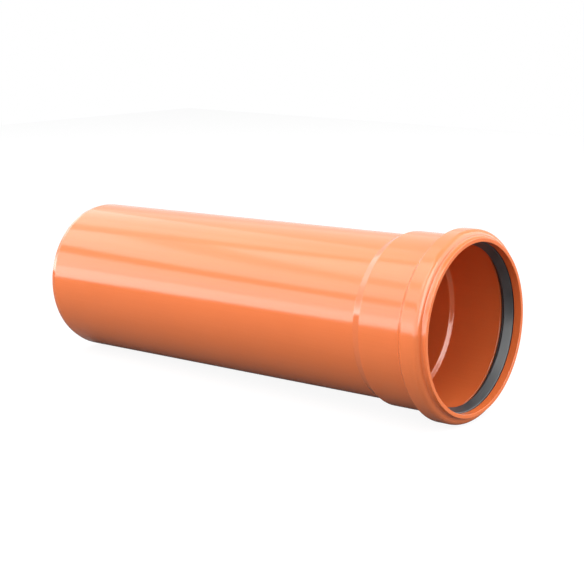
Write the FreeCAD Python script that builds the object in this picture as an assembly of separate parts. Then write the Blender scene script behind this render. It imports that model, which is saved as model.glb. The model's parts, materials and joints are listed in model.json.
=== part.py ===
import FreeCAD, Part
import math
import os

# A drain pipe lying on its side: one plastic piece, straight for most of its length, with a
# wider socket formed in its end, and a rubber lip seal held in the groove of that socket.
# Lengths are in mm. Profiles are drawn as (distance from the spigot end, radius) and turned
# about the pipe's own axis. The last step lays the pipe on a level floor, +X towards the mouth.

# barrel
overall_length = 500.0
pipe_outer_radius = 80.0
pipe_wall = 4.0
spigot_chamfer_length = 6.0
spigot_chamfer_depth = 1.7
spigot_edge_round = 0.3
chamfer_edge_round = 0.8

# socket: the part that takes the next pipe's spigot
socket_depth = 83.3
socket_clearance = 0.3
socket_wall = 4.0
outer_flare_length = 9.7
inner_shoulder_length = 2.6
shoulder_start_offset = 4.3
flare_edge_round = 2.5
shoulder_edge_round = 1.6

# bead: the wide band at the mouth, with the seal's groove inside it
bead_start_depth = 29.7
bead_flare_length = 6.9
bead_height = 7.2
bead_wall = 4.0
bead_foot_round = 1.5
bead_top_round = 2.2
bead_front_land = 0.1

# lip: the short plain ring in front of the bead
lip_length = 4.6
lip_wall = 3.8
lip_foot_round = 2.0
lip_outer_round = 0.4
lip_inner_round = 0.4

# groove
groove_front_depth = 8.2
groove_rear_depth = 22.5
groove_front_round = 3.4
groove_rear_round = 2.0
groove_front_edge_round = 0.8
groove_rear_edge_round = 1.0

# seal: a front web, a heel along the groove and a rear leg, with a lip that reaches back from
# the web and is pushed out as it is when a spigot is in the socket
seal_seat_gap = 0.3
seal_bore_gap = 0.1
seal_web = 6.0
seal_heel = 2.4
seal_rear_leg = 1.8
seal_rear_leg_drop = 0.9
seal_lip_thickness = 1.9
seal_lip_reach = 10.0
seal_edge_round = 0.5
seal_inside_round = 0.6

# sizes that follow from the ones above
pipe_inner_radius = pipe_outer_radius - pipe_wall
socket_inner_radius = pipe_outer_radius + socket_clearance
socket_outer_radius = socket_inner_radius + socket_wall
lip_outer_radius = socket_inner_radius + lip_wall
bead_outer_radius = socket_outer_radius + bead_height
bead_front_round = bead_outer_radius - lip_outer_radius - lip_foot_round - bead_front_land
groove_radius = bead_outer_radius - bead_wall
flare_start = overall_length - socket_depth
flare_end = flare_start + outer_flare_length
shoulder_start = flare_start + shoulder_start_offset
shoulder_end = shoulder_start + inner_shoulder_length
bead_start = overall_length - bead_start_depth
bead_top_start = bead_start + bead_flare_length
lip_start = overall_length - lip_length
groove_front = overall_length - groove_front_depth
groove_rear = overall_length - groove_rear_depth


# closed wire in the XZ plane from (along, radius, corner round) entries
def rounded_wire(corners):
    count = len(corners)
    entries = []
    for index in range(count):
        along, radius, corner_round = corners[index]
        corner = FreeCAD.Vector(along, 0, radius)
        before = FreeCAD.Vector(corners[index - 1][0], 0, corners[index - 1][1])
        after = FreeCAD.Vector(corners[(index + 1) % count][0], 0, corners[(index + 1) % count][1])
        entries.append(corner_points(before, corner, after, corner_round))
    edges = []
    for index in range(count):
        here = entries[index]
        following = entries[(index + 1) % count]
        if len(here) == 3:
            edges.append(Part.Arc(here[0], here[1], here[2]).toShape())
        if here[-1].distanceToPoint(following[0]) > 1e-6:
            edges.append(Part.makeLine(here[-1], following[0]))
    return Part.Wire(edges)


# the corner itself, or the start, middle and end of the arc that rounds it
def corner_points(before, corner, after, corner_round):
    if corner_round == 0:
        return [corner]
    back = (before - corner).normalize()
    ahead = (after - corner).normalize()
    half_angle = back.getAngle(ahead) / 2
    reach = corner_round / math.tan(half_angle)
    middle = (back + ahead).normalize()
    to_arc = corner_round / math.sin(half_angle) - corner_round
    return [corner + back * reach, corner + middle * to_arc, corner + ahead * reach]


# solid of revolution about the X axis
def turned(corners):
    face = Part.Face(rounded_wire(corners))
    return face.revolve(FreeCAD.Vector(0, 0, 0), FreeCAD.Vector(1, 0, 0), 360)


def make_pipe():
    outside = [
        (0, pipe_outer_radius - spigot_chamfer_depth, spigot_edge_round),
        (spigot_chamfer_length, pipe_outer_radius, chamfer_edge_round),
        (flare_start, pipe_outer_radius, flare_edge_round),
        (flare_end, socket_outer_radius, flare_edge_round),
        (bead_start, socket_outer_radius, bead_foot_round),
        (bead_top_start, bead_outer_radius, bead_top_round),
        (lip_start, bead_outer_radius, bead_front_round),
        (lip_start, lip_outer_radius, lip_foot_round),
        (overall_length, lip_outer_radius, lip_outer_round),
    ]
    inside = [
        (overall_length, socket_inner_radius, lip_inner_round),
        (groove_front, socket_inner_radius, groove_front_edge_round),
        (groove_front, groove_radius, groove_front_round),
        (groove_rear, groove_radius, groove_rear_round),
        (groove_rear, socket_inner_radius, groove_rear_edge_round),
        (shoulder_end, socket_inner_radius, shoulder_edge_round),
        (shoulder_start, pipe_inner_radius, shoulder_edge_round),
        (0, pipe_inner_radius, 0),
    ]
    return turned(outside + inside)


def make_seal():
    front = groove_front - seal_seat_gap
    rear = groove_rear + seal_seat_gap
    outer = groove_radius - seal_seat_gap
    inner = socket_inner_radius + seal_bore_gap
    lip_top = inner + seal_lip_thickness
    lip_tip = front - seal_lip_reach
    web_rear = front - seal_web
    heel_inner = outer - seal_heel
    leg_front = rear + seal_rear_leg
    leg_tip = socket_inner_radius + seal_rear_leg_drop
    return turned([
        (front, inner, seal_edge_round),
        (front, outer, groove_front_round - seal_seat_gap),
        (rear, outer, groove_rear_round - seal_seat_gap),
        (rear, leg_tip, seal_edge_round),
        (leg_front, leg_tip, seal_edge_round),
        (leg_front, heel_inner, seal_inside_round),
        (web_rear, heel_inner, seal_inside_round),
        (web_rear, lip_top, seal_inside_round),
        (lip_tip, lip_top, seal_edge_round),
        (lip_tip, inner, seal_edge_round),
    ])


# angle of the axis to the floor when the barrel's end and the bead both touch it
def resting_angle():
    chamfer_turn = math.atan2(spigot_chamfer_depth, spigot_chamfer_length)
    bead_turn = math.atan2(bead_outer_radius - socket_outer_radius, bead_flare_length)
    low_along = spigot_chamfer_length + chamfer_edge_round * math.tan(chamfer_turn / 2)
    high_along = bead_top_start + bead_top_round * math.tan(bead_turn / 2)
    rise = bead_outer_radius - bead_top_round - pipe_outer_radius + chamfer_edge_round
    run = high_along - low_along
    between_centres = math.hypot(run, rise)
    return math.atan2(rise, run) + math.asin((bead_top_round - chamfer_edge_round) / between_centres)


def laid_on_floor(shape, centre_along, lift):
    placed = shape.copy()
    placed.rotate(FreeCAD.Vector(0, 0, 0), FreeCAD.Vector(0, 1, 0), -math.degrees(resting_angle()))
    placed.translate(FreeCAD.Vector(-centre_along, 0, lift))
    return placed


pipe = make_pipe()
seal_ring = make_seal()

# the pipe's box after the turn gives the shift that puts the origin under its middle, on the floor
turned_pipe = laid_on_floor(pipe, 0, 0)
box = turned_pipe.optimalBoundingBox(False, False)
centre_along = (box.XMin + box.XMax) / 2

os.makedirs("parts", exist_ok=True)
laid_on_floor(pipe, centre_along, -box.ZMin).exportStep("parts/pipe.step")
laid_on_floor(seal_ring, centre_along, -box.ZMin).exportStep("parts/seal_ring.step")
print("resting angle", math.degrees(resting_angle()))
print("axis shift", centre_along, box.ZMin, "box", box)
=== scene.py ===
import json
import math

import bpy
import numpy as np
from mathutils import Matrix, Vector


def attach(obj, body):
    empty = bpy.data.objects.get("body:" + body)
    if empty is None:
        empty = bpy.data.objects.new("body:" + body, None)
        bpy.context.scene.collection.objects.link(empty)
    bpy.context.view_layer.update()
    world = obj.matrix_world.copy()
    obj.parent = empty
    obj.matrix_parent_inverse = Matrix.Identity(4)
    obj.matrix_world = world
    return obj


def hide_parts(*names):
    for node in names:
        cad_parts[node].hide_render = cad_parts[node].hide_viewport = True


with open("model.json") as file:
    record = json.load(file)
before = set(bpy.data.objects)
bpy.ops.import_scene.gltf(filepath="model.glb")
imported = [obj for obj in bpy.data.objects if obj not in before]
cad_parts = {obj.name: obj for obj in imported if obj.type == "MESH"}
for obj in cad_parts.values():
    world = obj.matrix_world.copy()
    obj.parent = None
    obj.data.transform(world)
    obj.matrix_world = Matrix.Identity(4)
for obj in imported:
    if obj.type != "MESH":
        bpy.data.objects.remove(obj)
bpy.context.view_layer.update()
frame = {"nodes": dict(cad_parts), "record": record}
mounts = {m["name"]: m for m in frame["record"]["mounts"]}
print("frame loaded:", sorted(frame["nodes"]))


# ---- where the pipe's own axis lies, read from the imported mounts

axisOut = np.array(mounts["socket"]["axis"], float)          # towards the mouth
sideways = np.array([0.0, 1.0, 0.0])
upward = np.cross(axisOut, sideways)
spigotMiddle = 0.211141                                      # of its straight wall, from the spigot end
spigotEnd = np.array(mounts["spigot"]["pos_m"], float) - axisOut * spigotMiddle


def placed(along, radius, angle):
    # a point at distance `along` from the spigot end, `radius` from the axis, turned by `angle`
    return (spigotEnd + along[..., None] * axisOut
            + (radius * np.cos(angle))[..., None] * sideways
            + (radius * np.sin(angle))[..., None] * upward)


# ---- surfaces turned about the axis

def roundedProfile(corners, arcSteps, support, longest):
    # Closed outline from (along, radius, corner round) entries, in metres. Each corner becomes
    # an arc tangent to both of its sides. Every straight run gets a point `support` from each
    # of its ends and more points no further apart than `longest`.
    pieces = []
    count = len(corners)
    for index in range(count):
        corner = np.array(corners[index][:2])
        back = np.array(corners[index - 1][:2]) - corner
        ahead = np.array(corners[(index + 1) % count][:2]) - corner
        back /= np.linalg.norm(back)
        ahead /= np.linalg.norm(ahead)
        size = corners[index][2]
        half = math.acos(np.clip(back @ ahead, -1, 1)) / 2
        centre = corner + (back + ahead) / np.linalg.norm(back + ahead) * size / math.sin(half)
        start = corner + back * size / math.tan(half) - centre
        end = corner + ahead * size / math.tan(half) - centre
        sweep = math.pi - 2 * half
        share = np.linspace(0, 1, arcSteps + 1)[:, None]
        arc = (np.sin((1 - share) * sweep) * start + np.sin(share * sweep) * end) / math.sin(sweep)
        pieces.append(centre + arc)
    outline = []
    for index in range(count):
        here = pieces[index]
        following = pieces[(index + 1) % count]
        outline.append(here)
        run = following[0] - here[-1]
        length = np.linalg.norm(run)
        if length > 3 * support:
            inset = support / length
            steps = int(length / longest) + 1
            shares = np.concatenate([[inset], np.arange(1, steps) / steps, [1 - inset]])
            shares = np.unique(shares[(shares >= inset) & (shares <= 1 - inset)])
            outline.append(here[-1] + shares[:, None] * run)
    return np.concatenate(outline)


def turnedMesh(name, outline, segments):
    # The outline carried round the axis: point (i, j) is outline point i turned by j steps.
    # UV: u runs once round, v is the distance along the outline in metres.
    angle = np.linspace(0, 2 * np.pi, segments, endpoint=False)
    along = np.repeat(outline[:, 0][:, None], segments, axis=1)
    radius = np.repeat(outline[:, 1][:, None], segments, axis=1)
    angles = np.repeat(angle[None, :], len(outline), axis=0)
    points = placed(along, radius, angles).reshape(-1, 3)
    rows, columns = len(outline), segments
    i, j = np.meshgrid(np.arange(rows), np.arange(columns), indexing="ij")
    nextI, nextJ = (i + 1) % rows, (j + 1) % columns
    quads = np.stack([i * columns + j, i * columns + nextJ, nextI * columns + nextJ,
                      nextI * columns + j], axis=-1).reshape(-1, 4)
    mesh = bpy.data.meshes.new(name)
    mesh.vertices.add(len(points))
    mesh.vertices.foreach_set("co", points.ravel())
    mesh.loops.add(quads.size)
    mesh.loops.foreach_set("vertex_index", quads.ravel())
    mesh.polygons.add(len(quads))
    mesh.polygons.foreach_set("loop_start", np.arange(len(quads)) * 4)
    mesh.update(calc_edges=True)
    mesh.polygons.foreach_set("use_smooth", np.ones(len(quads), bool))
    distance = np.concatenate([[0], np.cumsum(np.linalg.norm(np.diff(outline, axis=0), axis=1))])
    closing = distance[-1] + np.linalg.norm(outline[0] - outline[-1])
    across = np.stack([j, j + 1, j + 1, j], axis=-1).reshape(-1, 4) / columns
    ends = np.append(distance, closing)
    down = np.stack([ends[i], ends[i], ends[i + 1], ends[i + 1]], axis=-1).reshape(-1, 4)
    uv = mesh.uv_layers.new(name="surface")
    uv.data.foreach_set("uv", np.stack([across, down], axis=-1).ravel())
    mesh.validate()
    made = bpy.data.objects.new(name, mesh)
    bpy.context.scene.collection.objects.link(made)
    return made


# ---- the pipe: barrel, spigot and formed socket

pipe = {
    "length": 0.500,
    "outerRadius": 0.080,
    "wall": 0.004,
    "chamferLength": 0.006,
    "chamferDepth": 0.0017,
    "socketDepth": 0.0833,
    "socketClearance": 0.0003,
    "socketWall": 0.004,
    "flareLength": 0.0097,
    "shoulderOffset": 0.0043,
    "shoulderLength": 0.0026,
    "beadStartDepth": 0.0297,
    "beadFlareLength": 0.0069,
    "beadHeight": 0.0072,
    "beadWall": 0.004,
    "lipLength": 0.0046,
    "lipWall": 0.0038,
    "grooveFront": 0.0082,
    "grooveRear": 0.0225,
    "spigotEdgeRound": 0.0003,
    "chamferRound": 0.0008,
    "flareRound": 0.0025,
    "beadFootRound": 0.0015,
    "beadTopRound": 0.0022,
    "beadFrontLand": 0.0001,
    "lipFootRound": 0.002,
    "lipEdgeRound": 0.0004,
    "grooveMouthRound": 0.0008,
    "grooveFrontRound": 0.0034,
    "grooveRearRound": 0.002,
    "grooveEdgeRound": 0.001,
    "shoulderRound": 0.0016,
    "boreEdgeRound": 0.0001,
    "segments": 320,
}


def pipeOutline(p):
    outer = p["outerRadius"]
    bore = outer - p["wall"]
    socketBore = outer + p["socketClearance"]
    socketOuter = socketBore + p["socketWall"]
    lipOuter = socketBore + p["lipWall"]
    beadOuter = socketOuter + p["beadHeight"]
    grooveRadius = beadOuter - p["beadWall"]
    mouth = p["length"]
    flare = mouth - p["socketDepth"]
    shoulder = flare + p["shoulderOffset"]
    bead = mouth - p["beadStartDepth"]
    lip = mouth - p["lipLength"]
    front = mouth - p["grooveFront"]
    rear = mouth - p["grooveRear"]
    beadFrontRound = beadOuter - lipOuter - p["lipFootRound"] - p["beadFrontLand"]
    return [
        (0, outer - p["chamferDepth"], p["spigotEdgeRound"]),
        (p["chamferLength"], outer, p["chamferRound"]),
        (flare, outer, p["flareRound"]),
        (flare + p["flareLength"], socketOuter, p["flareRound"]),
        (bead, socketOuter, p["beadFootRound"]),
        (bead + p["beadFlareLength"], beadOuter, p["beadTopRound"]),
        (lip, beadOuter, beadFrontRound),
        (lip, lipOuter, p["lipFootRound"]),
        (mouth, lipOuter, p["lipEdgeRound"]),
        (mouth, socketBore, p["lipEdgeRound"]),
        (front, socketBore, p["grooveMouthRound"]),
        (front, grooveRadius, p["grooveFrontRound"]),
        (rear, grooveRadius, p["grooveRearRound"]),
        (rear, socketBore, p["grooveEdgeRound"]),
        (shoulder + p["shoulderLength"], socketBore, p["shoulderRound"]),
        (shoulder, bore, p["shoulderRound"]),
        (0, bore, p["boreEdgeRound"]),
    ]


pipeShape = roundedProfile(pipeOutline(pipe), arcSteps=7, support=0.0004, longest=0.02)
pipeBody = turnedMesh("pipeBody", pipeShape, pipe["segments"])
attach(pipeBody, "root")
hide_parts("pipe")
print("pipe made:", len(pipeBody.data.polygons), "faces")


# ---- the seal: a rubber ring in the groove with a relaxed lip leaning into the bore

seal = {
    "frontDepth": 0.0085,
    "rearDepth": 0.0222,
    "outerRadius": 0.0872,
    "frontRadius": 0.0796,
    "tipDepth": 0.0169,
    "tipRadius": 0.0758,
    "lipThickness": 0.0019,
    "lipRootShare": 1.5,         # of the lip's thickness, at the web
    "lipTipShare": 0.75,         # of the lip's thickness, at the tip
    "webDepth": 0.0145,
    "heelThickness": 0.0024,
    "legThickness": 0.0018,
    "legRadius": 0.0812,
    "frontEdgeRound": 0.0008,
    "frontRound": 0.0031,
    "rearRound": 0.0017,
    "edgeRound": 0.0005,
    "insideRound": 0.0006,
    "segments": 256,
}


def sealOutline(s, mouth):
    front, rear = mouth - s["frontDepth"], mouth - s["rearDepth"]
    web, tip = mouth - s["webDepth"], mouth - s["tipDepth"]
    slope = (s["frontRadius"] - s["tipRadius"]) / (front - tip)
    webRadius = s["frontRadius"] - slope * (front - web) + s["lipThickness"] * s["lipRootShare"]
    heel = s["outerRadius"] - s["heelThickness"]
    legFront = rear + s["legThickness"]
    return [
        (front, s["frontRadius"], s["frontEdgeRound"]),
        (front, s["outerRadius"], s["frontRound"]),
        (rear, s["outerRadius"], s["rearRound"]),
        (rear, s["legRadius"], s["edgeRound"]),
        (legFront, s["legRadius"], s["edgeRound"]),
        (legFront, heel, s["insideRound"]),
        (web, heel, s["insideRound"]),
        (web, webRadius, s["insideRound"]),
        (tip, s["tipRadius"] + s["lipThickness"] * s["lipTipShare"], s["edgeRound"]),
        (tip, s["tipRadius"], s["edgeRound"]),
    ]


sealShape = roundedProfile(sealOutline(seal, pipe["length"]), arcSteps=6, support=0.0003, longest=0.003)
sealRing = turnedMesh("sealRing", sealShape, seal["segments"])
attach(sealRing, "root")
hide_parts("seal_ring")
print("seal made:", len(sealRing.data.polygons), "faces")


# ---- materials

def emptyMaterial(name):
    material = bpy.data.materials.new(name)
    material.use_nodes = True
    nodes, links = material.node_tree.nodes, material.node_tree.links
    nodes.clear()
    return material, nodes, links, nodes.new("ShaderNodeOutputMaterial")


def newMaterial(name, look):
    material, nodes, links, output = emptyMaterial(name)
    shader = nodes.new("ShaderNodeBsdfPrincipled")
    shader.inputs["IOR"].default_value = look["ior"]
    links.new(shader.outputs["BSDF"], output.inputs["Surface"])
    return material, nodes, links, shader


def noise(nodes, links, coordinates, scale, detail):
    texture = nodes.new("ShaderNodeTexNoise")
    texture.inputs["Scale"].default_value = scale
    texture.inputs["Detail"].default_value = detail
    links.new(coordinates, texture.inputs["Vector"])
    return texture.outputs["Fac"]


noiseRange = (0.3, 0.7)                                      # where noise values usually lie


def mapped(nodes, links, value, low, high, source=(0.0, 1.0)):
    # value carried from the range `source` to low..high
    mapRange = nodes.new("ShaderNodeMapRange")
    mapRange.inputs["From Min"].default_value = source[0]
    mapRange.inputs["From Max"].default_value = source[1]
    mapRange.inputs["To Min"].default_value = low
    mapRange.inputs["To Max"].default_value = high
    links.new(value, mapRange.inputs["Value"])
    return mapRange.outputs["Result"]


def spread(nodes, links, value, low, high):
    return mapped(nodes, links, value, low, high, noiseRange)


def alongPipe(nodes, links, stretch):
    # Object coordinates turned to the pipe's own axis and squeezed along it, for drawn-out marks
    coordinates = nodes.new("ShaderNodeTexCoord")
    mapping = nodes.new("ShaderNodeMapping")
    mapping.vector_type = "POINT"
    mapping.inputs["Rotation"].default_value = (0, math.asin(axisOut[2]), 0)
    mapping.inputs["Scale"].default_value = (stretch, 1, 1)
    links.new(coordinates.outputs["Object"], mapping.inputs["Vector"])
    return mapping.outputs["Vector"]


def mixColours(nodes, links, first, second, share):
    mix = nodes.new("ShaderNodeMix")
    mix.data_type = "RGBA"
    mix.inputs["A"].default_value = (*first, 1)
    mix.inputs["B"].default_value = (*second, 1)
    links.new(share, mix.inputs["Factor"])
    return mix.outputs["Result"]


def bumped(nodes, links, height, strength, distance, under=None):
    bump = nodes.new("ShaderNodeBump")
    bump.inputs["Strength"].default_value = strength
    bump.inputs["Distance"].default_value = distance
    links.new(height, bump.inputs["Height"])
    if under is not None:
        links.new(under, bump.inputs["Normal"])
    return bump.outputs["Normal"]


# drawn lines along the barrel from the extruder, slow clouds of colour and a faint orange peel
pvcLook = {
    "colour": (0.72, 0.170, 0.048),
    "darker": (0.66, 0.151, 0.041),
    "roughness": (0.10, 0.17),
    "ior": 1.5,
    "drawStretch": 0.012,
    "drawLineScale": 700.0,
    "drawLineShare": 0.25,
    "drawLineHeight": 0.00002,
    "cloudScale": 9.0,
    "cloudShare": 0.42,
    "smearScale": 120.0,
    "peelScale": 160.0,
    "peelHeight": 0.00002,
    "bumpStrength": 0.6,
}


def makePvc(look):
    material, nodes, links, shader = newMaterial("orangeBrownPvc", look)
    drawn = alongPipe(nodes, links, look["drawStretch"])
    even = alongPipe(nodes, links, 1.0)
    cloud = noise(nodes, links, even, look["cloudScale"], 3.0)
    lines = noise(nodes, links, drawn, look["drawLineScale"], 2.0)
    share = nodes.new("ShaderNodeMath")
    share.operation = "ADD"
    links.new(spread(nodes, links, cloud, 0.0, look["cloudShare"]), share.inputs[0])
    links.new(spread(nodes, links, lines, 0.0, look["drawLineShare"]), share.inputs[1])
    colour = mixColours(nodes, links, look["colour"], look["darker"], share.outputs["Value"])
    links.new(colour, shader.inputs["Base Color"])
    smear = noise(nodes, links, drawn, look["smearScale"], 3.0)
    links.new(spread(nodes, links, smear, *look["roughness"]), shader.inputs["Roughness"])
    peel = noise(nodes, links, even, look["peelScale"], 2.0)
    lined = bumped(nodes, links, lines, look["bumpStrength"], look["drawLineHeight"])
    peeled = bumped(nodes, links, peel, look["bumpStrength"], look["peelHeight"], lined)
    links.new(peeled, shader.inputs["Normal"])
    return material


# black rubber with a paler bloom in patches and a fine matt grain
rubberLook = {
    "colour": (0.026, 0.032, 0.036),
    "paler": (0.046, 0.054, 0.058),
    "roughness": (0.32, 0.48),
    "ior": 1.52,
    "bloomScale": 60.0,
    "grainScale": 900.0,
    "grainHeight": 0.00006,
    "grainStrength": 0.5,
}


def makeRubber(look):
    material, nodes, links, shader = newMaterial("sealRubber", look)
    even = alongPipe(nodes, links, 1.0)
    bloom = noise(nodes, links, even, look["bloomScale"], 4.0)
    share = spread(nodes, links, bloom, 0.0, 1.0)
    links.new(mixColours(nodes, links, look["colour"], look["paler"], share), shader.inputs["Base Color"])
    links.new(spread(nodes, links, bloom, *look["roughness"]), shader.inputs["Roughness"])
    grain = noise(nodes, links, even, look["grainScale"], 3.0)
    rough = bumped(nodes, links, grain, look["grainStrength"], look["grainHeight"])
    links.new(rough, shader.inputs["Normal"])
    return material


pipeBody.data.materials.append(makePvc(pvcLook))
sealRing.data.materials.append(makeRubber(rubberLook))
print("materials made")


# ---- camera

view = {
    "azimuth": 39.44,
    "elevation": 12.21,
    "lens": 84.62,
    "sensor": 36,
    "nearest": 0.05,
    "farthest": 200,
    "mouthRight": 0.17047,      # the mouth's centre, seen from the camera
    "mouthDown": 0.03374,
    "mouthAhead": 1.266205,
}

turn, rise = math.radians(view["azimuth"]), math.radians(view["elevation"])
toRight = Vector((math.cos(turn), math.sin(turn), 0))
toAhead = Vector((-math.sin(turn) * math.cos(rise), math.cos(turn) * math.cos(rise), -math.sin(rise)))
toUp = toRight.cross(toAhead)
mouthCentre = Vector(spigotEnd + axisOut * pipe["length"])
eye = (mouthCentre - toRight * view["mouthRight"] + toUp * view["mouthDown"]
       - toAhead * view["mouthAhead"])
cameraData = bpy.data.cameras.new("camera")
cameraData.lens = view["lens"]
cameraData.sensor_width = view["sensor"]
cameraData.clip_start = view["nearest"]
cameraData.clip_end = view["farthest"]
camera = bpy.data.objects.new("camera", cameraData)
bpy.context.scene.collection.objects.link(camera)
camera.matrix_world = Matrix((
    (toRight.x, toUp.x, -toAhead.x, eye.x),
    (toRight.y, toUp.y, -toAhead.y, eye.y),
    (toRight.z, toUp.z, -toAhead.z, eye.z),
    (0, 0, 0, 1)))
bpy.context.scene.camera = camera


# ---- floor, background and lights

studio = {
    "floorSize": 5.0,
    "floorGlow": 0.90,
    "floorCatch": 0.12,
    "floorPaint": 0.25,
    "floorForBounce": 0.08,
    "backgroundSeen": 1.0,
    "backgroundFill": 0.2,
    "overheadPower": 6.0,
    "overheadSize": 2.4,
    "overheadHeight": 2.6,
}


def seenRays(nodes, links):
    # 1 for rays that show the background: straight, mirrored and through glass
    path = nodes.new("ShaderNodeLightPath")
    total = path.outputs["Is Camera Ray"]
    for name in ("Is Glossy Ray", "Is Transmission Ray"):
        add = nodes.new("ShaderNodeMath")
        add.operation = "MAXIMUM"
        links.new(total, add.inputs[0])
        links.new(path.outputs[name], add.inputs[1])
        total = add.outputs["Value"]
    return total


def makeFloor(s):
    mesh = bpy.data.meshes.new("floor")
    half = s["floorSize"] / 2
    mesh.from_pydata([(-half, -half, 0), (half, -half, 0), (half, half, 0), (-half, half, 0)],
                     [], [(0, 1, 2, 3)])
    floor = bpy.data.objects.new("floor", mesh)
    bpy.context.scene.collection.objects.link(floor)
    material, nodes, links, output = emptyMaterial("studioFloor")
    pale = nodes.new("ShaderNodeBsdfDiffuse")
    glow = nodes.new("ShaderNodeEmission")
    # straight rays see a glow and a little real light, for a faint shadow; mirrored rays see
    # plain paint lit by the lamps, with the full shadow on it
    straight = nodes.new("ShaderNodeLightPath").outputs["Is Camera Ray"]
    links.new(mapped(nodes, links, straight, 0.0, s["floorGlow"]), glow.inputs["Strength"])
    links.new(mapped(nodes, links, straight, s["floorPaint"], s["floorCatch"]), pale.inputs["Color"])
    both = nodes.new("ShaderNodeAddShader")
    links.new(pale.outputs["BSDF"], both.inputs[0])
    links.new(glow.outputs["Emission"], both.inputs[1])
    # light that bounces off the floor sees a dark one, so it adds little from below
    plain = nodes.new("ShaderNodeBsdfDiffuse")
    plain.inputs["Color"].default_value = (s["floorForBounce"],) * 3 + (1,)
    choose = nodes.new("ShaderNodeMixShader")
    links.new(seenRays(nodes, links), choose.inputs["Fac"])
    links.new(plain.outputs["BSDF"], choose.inputs[1])
    links.new(both.outputs["Shader"], choose.inputs[2])
    links.new(choose.outputs["Shader"], output.inputs["Surface"])
    mesh.materials.append(material)


def makeWorld(s):
    world = bpy.data.worlds.new("studio")
    world.use_nodes = True
    bpy.context.scene.world = world
    nodes, links = world.node_tree.nodes, world.node_tree.links
    nodes.clear()
    output = nodes.new("ShaderNodeOutputWorld")
    background = nodes.new("ShaderNodeBackground")
    background.inputs["Color"].default_value = (1, 1, 1, 1)
    strength = mapped(nodes, links, seenRays(nodes, links), s["backgroundFill"], s["backgroundSeen"])
    links.new(strength, background.inputs["Strength"])
    links.new(background.outputs["Background"], output.inputs["Surface"])


# soft panels round the set: (from, to) compass angles counted from straight ahead of the
# camera, (from, to) heights above the horizon, brightness seen in the gloss, brightness as light
panels = {
    "leftLow": ((-150, -105), (0, 11), 6.0, 4.9),
    "leftMiddle": ((-150, -105), (11, 24), 4.2, 4.9),
    "leftStreak": ((-150, -105), (24, 30), 1.6, 3.5),
    "leftHigh": ((-180, -105), (30, 48), 4.1, 2.6),
    "sideLow": ((-105, -58), (0, 11), 6.0, 0.2),
    "sideMiddle": ((-105, -58), (11, 24), 4.2, 0.2),
    "sideStreak": ((-105, -58), (24, 30), 1.2, 1.8),
    "sideHigh": ((-105, -58), (30, 42), 4.1, 1.8),
    "sideUpper": ((-105, -58), (42, 48), 2.4, 1.8),
    "leftTop": ((-120, -58), (48, 80), 4.2, 3.2),
    "leftTopNear": ((-180, -120), (48, 80), 6.5, 3.2),
    "backLeft": ((-58, -48), (12, 65), 1.8, 0.4),
    "backMiddle": ((-48, -38), (12, 65), 2.9, 0.4),
    "backRight": ((-38, -20), (12, 65), 2.5, 0.4),
    "rightTop": ((-20, 118), (50, 80), 1.6, 2.6),
    "frontTop": ((118, 180), (50, 80), 1.6, 1.0),
    "rightSide": ((60, 118), (0, 50), 4.0, 4.3),
    "rightFront": ((118, 150), (3, 50), 10.0, 1.2),
    "frontRight": ((150, 165), (0, 50), 7.0, 1.7),
    "front": ((165, 180), (0, 50), 3.0, 1.7),
    "frontLeft": ((-180, -150), (0, 30), 5.0, 0.6),
    "backFar": ((-20, 10), (24, 50), 1.5, 0.5),
}
panelShape = {"distance": 3.0, "rows": 9, "columns": 25}


def makePanel(name, sides, heights, inGloss, asLight, shape):
    # a patch of a ball round the object: point (i, j) at height angle i and compass angle j
    height, compass = np.meshgrid(np.radians(np.linspace(*heights, shape["rows"])),
                                  np.radians(np.linspace(*sides, shape["columns"])), indexing="ij")
    ahead = np.array([-math.sin(turn), math.cos(turn), 0.0])
    right = np.array(toRight)
    level = np.cos(compass)[..., None] * ahead + np.sin(compass)[..., None] * right
    points = shape["distance"] * (np.cos(height)[..., None] * level
                                  + np.sin(height)[..., None] * np.array([0, 0, 1.0]))
    rows, columns = height.shape
    i, j = np.meshgrid(np.arange(rows - 1), np.arange(columns - 1), indexing="ij")
    first = i * columns + j
    quads = np.stack([first, first + 1, first + columns + 1, first + columns], axis=-1).reshape(-1, 4)
    mesh = bpy.data.meshes.new(name)
    mesh.from_pydata(points.reshape(-1, 3).tolist(), [], quads.tolist())
    panel = bpy.data.objects.new(name, mesh)
    bpy.context.scene.collection.objects.link(panel)
    panel.visible_camera = False
    material, nodes, links, output = emptyMaterial(name)
    glow = nodes.new("ShaderNodeEmission")
    mirrored = nodes.new("ShaderNodeLightPath").outputs["Is Glossy Ray"]
    links.new(mapped(nodes, links, mirrored, asLight, inGloss), glow.inputs["Strength"])
    links.new(glow.outputs["Emission"], output.inputs["Surface"])
    mesh.materials.append(material)


def makeOverhead(s):
    data = bpy.data.lights.new("overhead", "AREA")
    data.shape = "SQUARE"
    data.size = s["overheadSize"]
    data.energy = s["overheadPower"]
    lamp = bpy.data.objects.new("overhead", data)
    lamp.location = (0, 0, s["overheadHeight"])
    lamp.visible_camera = False
    bpy.context.scene.collection.objects.link(lamp)


makeFloor(studio)
makeWorld(studio)
for name, (sides, heights, inGloss, asLight) in panels.items():
    makePanel(name, sides, heights, inGloss, asLight, panelShape)
makeOverhead(studio)
bpy.context.scene.view_settings.view_transform = "Standard"
print("studio made")
